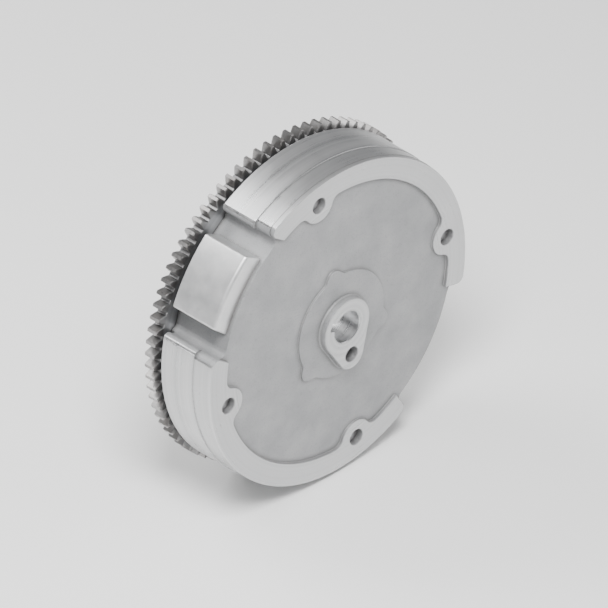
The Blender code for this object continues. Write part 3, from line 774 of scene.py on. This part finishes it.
def fastener_cutters():
    shapes = [drill("retainer_hole", polar(SCREW_CIRCLE_R, angle), LEDGE_DEPTH, SCREW_HOLE_BOTTOM,
                    SCREW_SHANK_R + TOUCH_GAP, SMALL_CHAMFER, SCREW_HOLE_POINTS, SCREW_HOLE_POINT)
              for angle in SCREW_ANGLES]
    rows = [(SPOT_FACE_START, SPOT_FACE_R), (SPOT_FACE_FLOOR, SPOT_FACE_R),
            (SPOT_FACE_FLOOR + WELD, IGNITION_HOLE_R), (POCKET_FLOOR_R + OVERLAP, IGNITION_HOLE_R)]
    return shapes + [radial_bore("ignition_hole", side, rows) for side in (1, -1)]


def stays_sharp(point):
    """True under the lands, and on the pocket's narrow step in front of the gear's seat."""
    radius = math.hypot(point.x, point.z)
    under_land = radius > UNDER_LAND_R and point.y < world_y(UNDER_LAND_DEPTH)
    at_seat = SEAT_R - WELD < radius < POCKET_FLOOR_R + WELD
    return under_land or (at_seat and abs(point.y - world_y(GEAR_FRONT)) < OVERLAP)


def is_drilled(along, spot):
    """True on a plain hole's wall or floor, but not on the face round its mouth."""
    for _, centre, radius, mouth, bottom, _, point in plain_holes():
        end = bottom + point if bottom > mouth else bottom - point
        deep = min(mouth, end) - WELD < along < max(mouth, end) + WELD
        if deep and abs(along - mouth) > WELD and (spot - centre).length < radius + HOLE_MARGIN:
            return True
    return False


def is_turned(along, radius, facing):
    """True on the back of the rim, the hub's ends, the lands, the drum, the groove and the bore."""
    if along > LEDGE_DEPTH - WELD:
        return True
    if facing > SQUARE_ON:
        on_boss = along > REAR_BOSS_BACK - WELD and radius < REAR_BOSS_R
        return along < HUB_FRONT + WELD or abs(along) < WELD or on_boss
    if radius > FLANGE_R - HOLE_MARGIN or (radius > SEAT_R - OVERLAP and along > DRUM_BACK):
        return True
    in_bore = radius < bore_radius(along) + HOLE_MARGIN
    in_keyway = radius < KEY_FLOOR + BORE_TAPER * (along - HUB_FRONT) + HOLE_MARGIN
    return in_bore or (in_keyway and along > DISH_INNER_DEPTH)


def choose_finishes(casting):
    for face in casting.data.polygons:
        along, spot = face.center.y - FLANGE_Y, Vector((face.center.x, face.center.z))
        if is_drilled(along, spot):
            face.material_index = DRILLED
        elif is_turned(along, spot.length, abs(face.normal.y)):
            face.material_index = TURNED
        else:
            face.material_index = CAST


def merge_relief_floor(mesh):
    """Make the flat ledge in the relief gap one face, which bevels cleanly."""
    shape = bmesh.new()
    shape.from_mesh(mesh)
    plane = world_y(STEP_DEPTH)
    inside = []
    for edge in shape.edges:
        middle = 0.5 * (edge.verts[0].co + edge.verts[1].co)
        offset = signed(heading(Vector((middle.x, middle.z))) - RELIEF_ANGLE)
        flat = all(abs(vert.co.y - plane) < WELD for face in edge.link_faces for vert in face.verts)
        if flat and abs(offset) < RELIEF_HALF_ANGLE:
            inside.append(edge)
    bmesh.ops.dissolve_edges(shape, edges=inside, use_verts=False)
    shape.to_mesh(mesh)
    shape.free()


def build_casting():
    casting = turned("casting", casting_corners())
    notches, features = notch_cutters(), raised_features()
    holes = bore_cutters() + hole_cutters() + fastener_cutters()
    combine(casting, notches, "DIFFERENCE")
    freeze(casting, notches)
    weld(casting.data)
    merge_relief_floor(casting.data)
    break_edges(casting, CAST_EDGE, stays_sharp)
    split_wide_faces(casting.data)
    combine(casting, features, "UNION")
    combine(casting, holes, "DIFFERENCE")
    freeze(casting, features + holes)
    weld(casting.data)
    casting.data.materials.clear()
    finish_piece(casting, [cast_iron_skin(), turned_iron(), drilled_iron()],
                 "flywheel_body")
    choose_finishes(casting)


# --- Starter ring gear --------------------------

def tooth_half_angle(radius):
    """Half thickness of an involute tooth at a radius, in degrees."""
    base_r = GEAR_PITCH_R * math.cos(GEAR_PRESSURE_ANGLE)
    pressure = math.acos(base_r / radius)
    at_pitch = math.tan(GEAR_PRESSURE_ANGLE) - GEAR_PRESSURE_ANGLE
    half = math.pi / (2.0 * GEAR_TEETH) + at_pitch - (math.tan(pressure) - pressure)
    return math.degrees(half)


def gear_outline(inset):
    """Teeth with hollow root fillets, and every edge moved into the metal by inset."""
    root_r, tip_r = GEAR_ROOT_R - inset, GEAR_TIP_R - inset
    shift = math.degrees(inset / GEAR_PITCH_R)
    fillet_top = root_r + GEAR_ROOT_FILLET
    side = []
    for swing in swept(90.0, FILLET_POINTS)[:-1]:
        flare = math.degrees(GEAR_ROOT_FILLET / root_r) * (1.0 - math.sin(swing))
        side.append((root_r + GEAR_ROOT_FILLET * (1.0 - math.cos(swing)),
                     tooth_half_angle(fillet_top + inset) - shift + flare))
    for i in range(FLANK_POINTS + 1):
        radius = fillet_top + (tip_r - fillet_top) * i / FLANK_POINTS
        side.append((radius, tooth_half_angle(radius + inset) - shift))
    tooth = [polar(radius, -angle) for radius, angle in side] + [polar(tip_r, 0.0)]
    tooth += [polar(radius, angle) for radius, angle in reversed(side)]
    outline = []
    for i in range(GEAR_TEETH):
        outline += turn(tooth, GEAR_PHASE + 360.0 * i / GEAR_TEETH)
    return outline


def on_circle(outline, radius):
    """The outline's points moved along their radii to a circle about the axis."""
    return [point.normalized() * radius for point in outline]


def build_gear():
    front, back = GEAR_FRONT, GEAR_BACK
    mouth_r = GEAR_BORE_R + GEAR_BORE_CHAMFER
    sharp = gear_outline(0.0)
    front_edge, back_edge = gear_outline(TOOTH_FRONT_CHAMFER), gear_outline(TOOTH_BACK_CHAMFER)
    rows = [(front_edge, front), (sharp, front + TOOTH_FRONT_CHAMFER),
            (sharp, back - TOOTH_BACK_CHAMFER), (back_edge, back),
            (on_circle(back_edge, GEAR_FACE_R), back),
            (on_circle(back_edge, mouth_r), back),
            (on_circle(back_edge, GEAR_BORE_R), back - GEAR_BORE_CHAMFER),
            (on_circle(front_edge, GEAR_BORE_R), front + GEAR_BORE_CHAMFER),
            (on_circle(front_edge, mouth_r), front),
            (on_circle(front_edge, GEAR_FACE_R), front)]
    gear = loft("starter_ring", [level(outline, along) for outline, along in rows], closed=True)
    finish_piece(gear, [gear_steel()], "ring_gear")


# --- Ignition block -----------------------------

def block_point(along, radius, across):
    """World point of the block from its depth, radius and distance from the middle line."""
    local = Vector((math.sqrt(radius ** 2 - across ** 2), across))
    return world(turn([local], POCKET_ANGLE)[0], along)


def cover_half_width(radius):
    share = (radius - COVER_BASE_R) / (COVER_TOP_R - COVER_BASE_R)
    return COVER_BASE_HALF_WIDTH + share * (COVER_TOP_HALF_WIDTH - COVER_BASE_HALF_WIDTH)


def cover_section(inset, across_of):
    """Section of the cover, moved in by inset, at a distance across that may vary with radius."""
    front, back, top = COVER_FRONT + inset, COVER_BACK - inset, COVER_TOP_R - inset
    section = rounded([(front, COVER_BASE_R, 0.0), (front, top, COVER_FRONT_ROUND - inset),
                       (back, top, COVER_BACK_ROUND - inset), (back, COVER_BASE_R, 0.0)])
    return [block_point(point.x, point.y, across_of(point.y)) for point in section]


def cover_sections():
    """Sections of the cover from one rounded end to the other."""
    ends = [(COVER_END_ROUND * (1.0 - math.sin(swing)), COVER_END_ROUND * (1.0 - math.cos(swing)))
            for swing in swept(90.0, END_STEPS)]
    sections = [cover_section(inset, lambda radius, back=back: back - cover_half_width(radius))
                for inset, back in ends]
    for i in range(1, COVER_STEPS):
        share = 2.0 * i / COVER_STEPS - 1.0
        sections.append(cover_section(0.0, lambda radius, share=share: share
                                      * (cover_half_width(radius) - COVER_END_ROUND)))
    sections += [cover_section(inset, lambda radius, back=back: cover_half_width(radius) - back)
                 for inset, back in reversed(ends)]
    return sections


def bay_cutter():
    """Room for the magnet and the pole shoes under the cover."""
    corners = ((BAY_FRONT, COVER_BASE_R - OVERLAP), (BAY_FRONT, BAY_TOP_R),
               (BAY_BACK, BAY_TOP_R), (BAY_BACK, COVER_BASE_R - OVERLAP))
    steps = [BAY_HALF_WIDTH * (2.0 * i / COVER_STEPS - 1.0) for i in range(COVER_STEPS + 1)]
    return loft("bay", [[block_point(along, radius, across) for along, radius in corners]
                        for across in steps])


def build_cover():
    cover, bay = loft("block_cover", cover_sections()), bay_cutter()
    combine(cover, [bay], "DIFFERENCE")
    freeze(cover, [bay])
    weld(cover.data)
    finish_piece(cover, [die_cast_aluminium()], "ignition_magnet_cover")


# --- Retainer and its screws --------------------

def build_retainer():
    inner, outer = RETAINER_INNER_R, RETAINER_INNER_R + SHEET
    retainer = turned("magnet_liner", [
        (inner, LIP_BACK, BEND_R), (LIP_R, LIP_BACK, SHEET_EDGE),
        (LIP_R, LIP_BACK - SHEET, SHEET_EDGE), (outer, LIP_BACK - SHEET, BEND_R - SHEET),
        (outer, LINER_FRONT, SHEET_EDGE), (inner, LINER_FRONT, SHEET_EDGE)])
    holes = []
    for angle in SCREW_ANGLES:
        outline = ring(polar(SCREW_CIRCLE_R, angle), SCREW_SHANK_R + TOUCH_GAP, SCREW_HOLE_POINTS)
        holes.append(prism("hole", outline, LIP_BACK - SHEET - OVERLAP, LIP_BACK + OVERLAP))
    combine(retainer, holes, "DIFFERENCE")
    freeze(retainer, holes)
    weld(retainer.data)
    finish_piece(retainer, [stainless_sheet()], "magnet_retainer")


def screw_rows():
    """Button-head screw as (radius, distance behind the lip), from its tip to its head."""
    rows = [(SCREW_TIP_R, -SCREW_LENGTH), (SCREW_SHANK_R, SCREW_TIP_CHAMFER - SCREW_LENGTH),
            (SCREW_SHANK_R, 0.0), (SCREW_HEAD_R - SCREW_EDGE, 0.0), (SCREW_HEAD_R, SCREW_EDGE)]
    for swing in swept(DOME_SWEEP, DOME_STEPS):
        rise = math.sin(swing) / math.sin(math.radians(DOME_SWEEP))
        rows.append((SCREW_HEAD_R * math.cos(swing),
                     2.0 * SCREW_EDGE + rise * (SCREW_HEAD_HEIGHT - 2.0 * SCREW_EDGE)))
    return rows


def build_screws(plating):
    top = LIP_BACK + SCREW_HEAD_HEIGHT
    for number, angle in enumerate(SCREW_ANGLES, start=1):
        centre = polar(SCREW_CIRCLE_R, angle)
        screw = loft(f"button_screw_{number}",
                     [level(ring(centre, radius, SCREW_POINTS), LIP_BACK + along)
                      for radius, along in screw_rows()])
        hexagon = turn(ring(ORIGIN, SCREW_SOCKET_R, HEXAGON), SCREW_SOCKET_TURN * number)
        socket = prism("socket", [centre + corner for corner in hexagon],
                       top - SCREW_SOCKET_DEPTH, top + OVERLAP)
        combine(screw, [socket], "DIFFERENCE")
        freeze(screw, [socket])
        weld(screw.data)
        finish_piece(screw, [plating], f"retainer_screw_{number}")


# --- Pieces that keep their CAD shape -----------

def dress_cad_nodes(plating):
    """Material, flat faces without slivers and slightly rounded edges for the nodes that show."""
    looks = {"ignition_magnet": ferrite("ground_ferrite"), "pole_shoe": laminated_steel(),
             "ignition_screw": plating, "charge_magnet": ferrite("arc_ferrite")}
    for name, node in frame["nodes"].items():
        if node.hide_render:
            continue
        look = next(look for start, look in looks.items() if name.startswith(start))
        node.data.materials.clear()
        node.data.materials.append(look)
        modify(node, "Joined", "WELD", merge_threshold=WELD)
        modify(node, "Flat", "DECIMATE", decimate_type="DISSOLVE",
               angle_limit=math.radians(CAD_FLATNESS))
        modify(node, "Edges", "BEVEL", width=CAD_EDGE, segments=EDGE_SEGMENTS,
               limit_method="ANGLE", angle_limit=math.radians(CAD_EDGE_ANGLE))


# --- Materials ----------------------------------

def new_material(name):
    material = bpy.data.materials.new(name)
    material.use_nodes = True
    return material, material.node_tree, material.node_tree.nodes["Principled BSDF"]


def add(tree, kind, inputs=None, **settings):
    """New shader node. An input is a value or another node's output socket."""
    node = tree.nodes.new("ShaderNode" + kind)
    for key, value in settings.items():
        setattr(node, key, value)
    for key, value in (inputs or {}).items():
        if isinstance(value, bpy.types.NodeSocket):
            tree.links.new(value, node.inputs[key])
        else:
            node.inputs[key].default_value = value
    return node


def plug(tree, shader, **inputs):
    for key, value in inputs.items():
        socket = shader.inputs[key.replace("_", " ")]
        if isinstance(value, bpy.types.NodeSocket):
            tree.links.new(value, socket)
        else:
            socket.default_value = value


def place(tree):
    return add(tree, "TexCoord").outputs["Object"]


def noise(tree, vector, grain, detail=3.0, rough=0.55):
    """Noise from 0 to 1 whose grains are about that many metres across."""
    return add(tree, "TexNoise", {"Vector": vector, "Scale": 1.0 / grain, "Detail": detail,
                                  "Roughness": rough}).outputs["Fac"]


def spread(tree, factor, low=0.0, high=1.0, start=0.3, end=0.7):
    """Factor from start to end, stretched over values from low to high."""
    return add(tree, "MapRange", {"Value": factor, "From Min": start, "From Max": end,
                                  "To Min": low, "To Max": high}).outputs["Result"]


def blend(tree, factor, first, second):
    """Colour between first and second. The factor is another node's output."""
    mix = add(tree, "Mix", {MIX_FACTOR: factor}, data_type="RGBA")
    for index, colour in ((MIX_FIRST, first), (MIX_SECOND, second)):
        if isinstance(colour, bpy.types.NodeSocket):
            tree.links.new(colour, mix.inputs[index])
        else:
            mix.inputs[index].default_value = (*colour, 1.0)
    return mix.outputs[MIX_COLOUR]


def bump(tree, height, distance, normal=None):
    inputs = {"Height": height, "Distance": distance, "Strength": 1.0}
    if normal:
        inputs["Normal"] = normal
    return add(tree, "Bump", inputs).outputs["Normal"]


def lathe_place(tree):
    """(radius, depth, 0): marks drawn on it run round the crankshaft axis, as a lathe's do."""
    parts = add(tree, "SeparateXYZ", {"Vector": place(tree)}).outputs
    flat = add(tree, "CombineXYZ", {"X": parts["X"], "Z": parts["Z"]})
    radius = add(tree, "VectorMath", {0: flat.outputs[0]}, operation="LENGTH")
    return add(tree, "CombineXYZ", {"X": radius.outputs["Value"], "Y": parts["Y"]}).outputs[0]


def painted_corner_shade(tree, colour, shade_colour, amount, reach=CORNER_SHADE_REACH):
    """Painted shade: darkens the colour in corners and recesses, where ambient occlusion finds
    them.
    """
    shade = add(tree, "AmbientOcclusion", {"Distance": reach}, samples=CORNER_SHADE_SAMPLES)
    return blend(tree, spread(tree, shade.outputs["AO"], amount, 0.0, 0.35, 0.95), colour, shade_colour)


def cast_iron_skin():
    material, tree, shader = new_material("cast_iron_skin")
    where = place(tree)
    cloud = spread(tree, noise(tree, where, 22.0 * MM, 4.0))
    speck = spread(tree, noise(tree, where, 0.9 * MM, 2.0))
    colour = blend(tree, cloud, *IRON_SKIN)
    colour = blend(tree, spread(tree, speck, 0.35, 0.0, 0.0, 0.55), colour, IRON_FLECK)
    coarse = noise(tree, where, 3.4 * MM)
    fine = noise(tree, where, 0.8 * MM, 2.0)
    normal = bump(tree, fine, 0.09 * MM, bump(tree, coarse, 0.22 * MM))
    plug(tree, shader, Base_Color=painted_corner_shade(tree, colour, IRON_CORNER_SHADE, 0.8), Metallic=0.45,
         Roughness=spread(tree, speck, 0.50, 0.66), Normal=normal)
    return material


def turned_iron():
    material, tree, shader = new_material("turned_iron")
    lathe = lathe_place(tree)
    bands = noise(tree, lathe, 2.4 * MM, 4.0, 0.7)
    marks = noise(tree, lathe, 0.35 * MM, 2.0)
    smudge = noise(tree, place(tree), 16.0 * MM)
    colour = blend(tree, spread(tree, bands), *TURNED_IRON)
    colour = painted_corner_shade(tree, colour, TURNED_CORNER_SHADE, 0.6)
    shine = add(tree, "Math", {0: spread(tree, bands, 0.24, 0.36),
                               1: spread(tree, smudge, -0.03, 0.06)}, operation="ADD")
    tangent = add(tree, "Tangent", direction_type="RADIAL", axis="Y")
    plug(tree, shader, Base_Color=colour, Metallic=0.95, Roughness=shine.outputs[0],
         Anisotropic=0.45, Tangent=tangent.outputs[0], Normal=bump(tree, marks, 0.02 * MM))
    return material


def drilled_iron():
    material, tree, shader = new_material("drilled_iron")
    where = place(tree)
    swarf = noise(tree, where, 1.2 * MM)
    colour = blend(tree, spread(tree, swarf), *DRILLED_IRON)
    plug(tree, shader, Base_Color=painted_corner_shade(tree, colour, DRILLED_CORNER_SHADE, 0.5), Metallic=0.7,
         Roughness=spread(tree, swarf, 0.40, 0.55),
         Normal=bump(tree, noise(tree, where, 0.4 * MM, 2.0), 0.015 * MM))
    return material


def gear_steel():
    material, tree, shader = new_material("hardened_steel")
    lathe, where = lathe_place(tree), place(tree)
    bands = noise(tree, lathe, 1.2 * MM, 4.0, 0.7)
    colour = blend(tree, spread(tree, bands), *GEAR_STEEL)
    radius = add(tree, "SeparateXYZ", {"Vector": lathe}).outputs["X"]
    outwards = spread(tree, radius, 0.0, 0.55, GEAR_FACE_R, GEAR_PITCH_R)
    uneven = spread(tree, noise(tree, where, 9.0 * MM), 0.5, 1.0)
    heat = add(tree, "Math", {0: outwards, 1: uneven}, operation="MULTIPLY")
    colour = blend(tree, heat.outputs[0], colour, GEAR_HEAT_TINT)
    colour = painted_corner_shade(tree, colour, GEAR_CORNER_SHADE, 0.85, 2.5 * MM)
    plug(tree, shader, Base_Color=colour, Metallic=0.95, Roughness=spread(tree, bands, 0.28, 0.42),
         Normal=bump(tree, noise(tree, where, 0.4 * MM, 2.0), 0.012 * MM))
    return material


def die_cast_aluminium():
    material, tree, shader = new_material("die_cast_aluminium")
    where = place(tree)
    flow = noise(tree, where, 9.0 * MM, 5.0, 0.65)
    skin = noise(tree, where, 0.8 * MM, 2.0)
    colour = blend(tree, spread(tree, flow), *ALUMINIUM)
    plug(tree, shader, Base_Color=painted_corner_shade(tree, colour, ALUMINIUM_CORNER_SHADE, 0.7), Metallic=0.85,
         Roughness=spread(tree, flow, 0.36, 0.48), Normal=bump(tree, skin, 0.03 * MM))
    return material


def ferrite(name):
    material, tree, shader = new_material(name)
    where = place(tree)
    crystals = noise(tree, where, 0.5 * MM)
    colour = blend(tree, spread(tree, crystals), *FERRITE)
    plug(tree, shader, Base_Color=colour, Metallic=0.1, Roughness=spread(tree, crystals, 0.45, 0.6),
         Normal=bump(tree, crystals, 0.02 * MM))
    return material


def laminated_steel():
    material, tree, shader = new_material("laminated_steel")
    depth = add(tree, "SeparateXYZ", {"Vector": place(tree)}).outputs["Y"]
    phase = add(tree, "Math", {0: depth, 1: math.tau / LAMINATION_PITCH}, operation="MULTIPLY")
    sheets = add(tree, "Math", {0: phase.outputs[0]}, operation="SINE").outputs[0]
    colour = blend(tree, spread(tree, sheets, 0.0, 1.0, -1.0, 1.0), *LAMINATIONS)
    plug(tree, shader, Base_Color=colour, Metallic=0.95, Roughness=0.4,
         Normal=bump(tree, sheets, 0.02 * MM))
    return material


def stainless_sheet():
    material, tree, shader = new_material("stainless_sheet")
    lathe = lathe_place(tree)
    bands = noise(tree, lathe, 1.6 * MM, 5.0, 0.7)
    colour = blend(tree, spread(tree, bands), *STAINLESS)
    plug(tree, shader, Base_Color=painted_corner_shade(tree, colour, STAINLESS_CORNER_SHADE, 0.4), Metallic=1.0,
         Roughness=spread(tree, bands, 0.22, 0.34), Normal=bump(tree, bands, 0.008 * MM))
    return material


def zinc_plate():
    material, tree, shader = new_material("zinc_plate")
    tint = noise(tree, place(tree), 2.0 * MM, 2.0)
    colour = blend(tree, spread(tree, tint), *ZINC)
    plug(tree, shader, Base_Color=painted_corner_shade(tree, colour, ZINC_CORNER_SHADE, 0.6, 1.0 * MM),
         Metallic=1.0, Roughness=spread(tree, tint, 0.24, 0.36))
    return material


# --- Stage --------------------------------------

def build_floor():
    bpy.ops.mesh.primitive_plane_add(size=FLOOR_SIZE, location=(0.0, 0.0, GEAR_LOW.z))
    floor = bpy.context.object
    floor.name = "floor"
    material, tree, shader = new_material("pale_floor")
    plug(tree, shader, Base_Color=FLOOR_COLOUR, Roughness=FLOOR_ROUGHNESS)
    floor.data.materials.append(material)


def build_sky():
    sky = bpy.data.worlds.new("studio")
    sky.use_nodes = True
    tree = sky.node_tree
    direction = add(tree, "TexCoord").outputs["Generated"]
    height = add(tree, "SeparateXYZ", {"Vector": direction}).outputs["Z"]
    colour = blend(tree, spread(tree, height, 0.0, 1.0, -0.2, 0.9), *SKY)
    plug(tree, tree.nodes["Background"], Color=colour, Strength=SKY_STRENGTH)
    bpy.context.scene.world = sky


def build_light(name, location, size, energy):
    """Square lamp that faces the object."""
    light = bpy.data.lights.new(name, "AREA")
    light.shape = "SQUARE"
    light.size = size
    light.energy = energy
    lamp = bpy.data.objects.new(name, light)
    lamp.location = location
    lamp.rotation_euler = (-Vector(location)).to_track_quat("-Z", "Y").to_euler()
    bpy.context.scene.collection.objects.link(lamp)


def build_camera():
    """Isometric view of the fan side: parallel projection from the upper left front."""
    camera = bpy.data.cameras.new("isometric")
    camera.type = "ORTHO"
    camera.ortho_scale = VIEW_WIDTH
    viewer = bpy.data.objects.new("isometric", camera)
    back = Vector((-1.0, -1.0, 1.0)).normalized()
    viewer.location = CAMERA_TARGET + back * CAMERA_DISTANCE
    viewer.rotation_euler = (-back).to_track_quat("-Z", "Y").to_euler()
    bpy.context.scene.collection.objects.link(viewer)
    bpy.context.scene.camera = viewer


def main():
    build_casting()
    build_gear()
    build_cover()
    build_retainer()
    plating = zinc_plate()
    build_screws(plating)
    dress_cad_nodes(plating)
    build_floor()
    build_sky()
    for light in LIGHTS:
        build_light(*light)
    build_camera()


main()
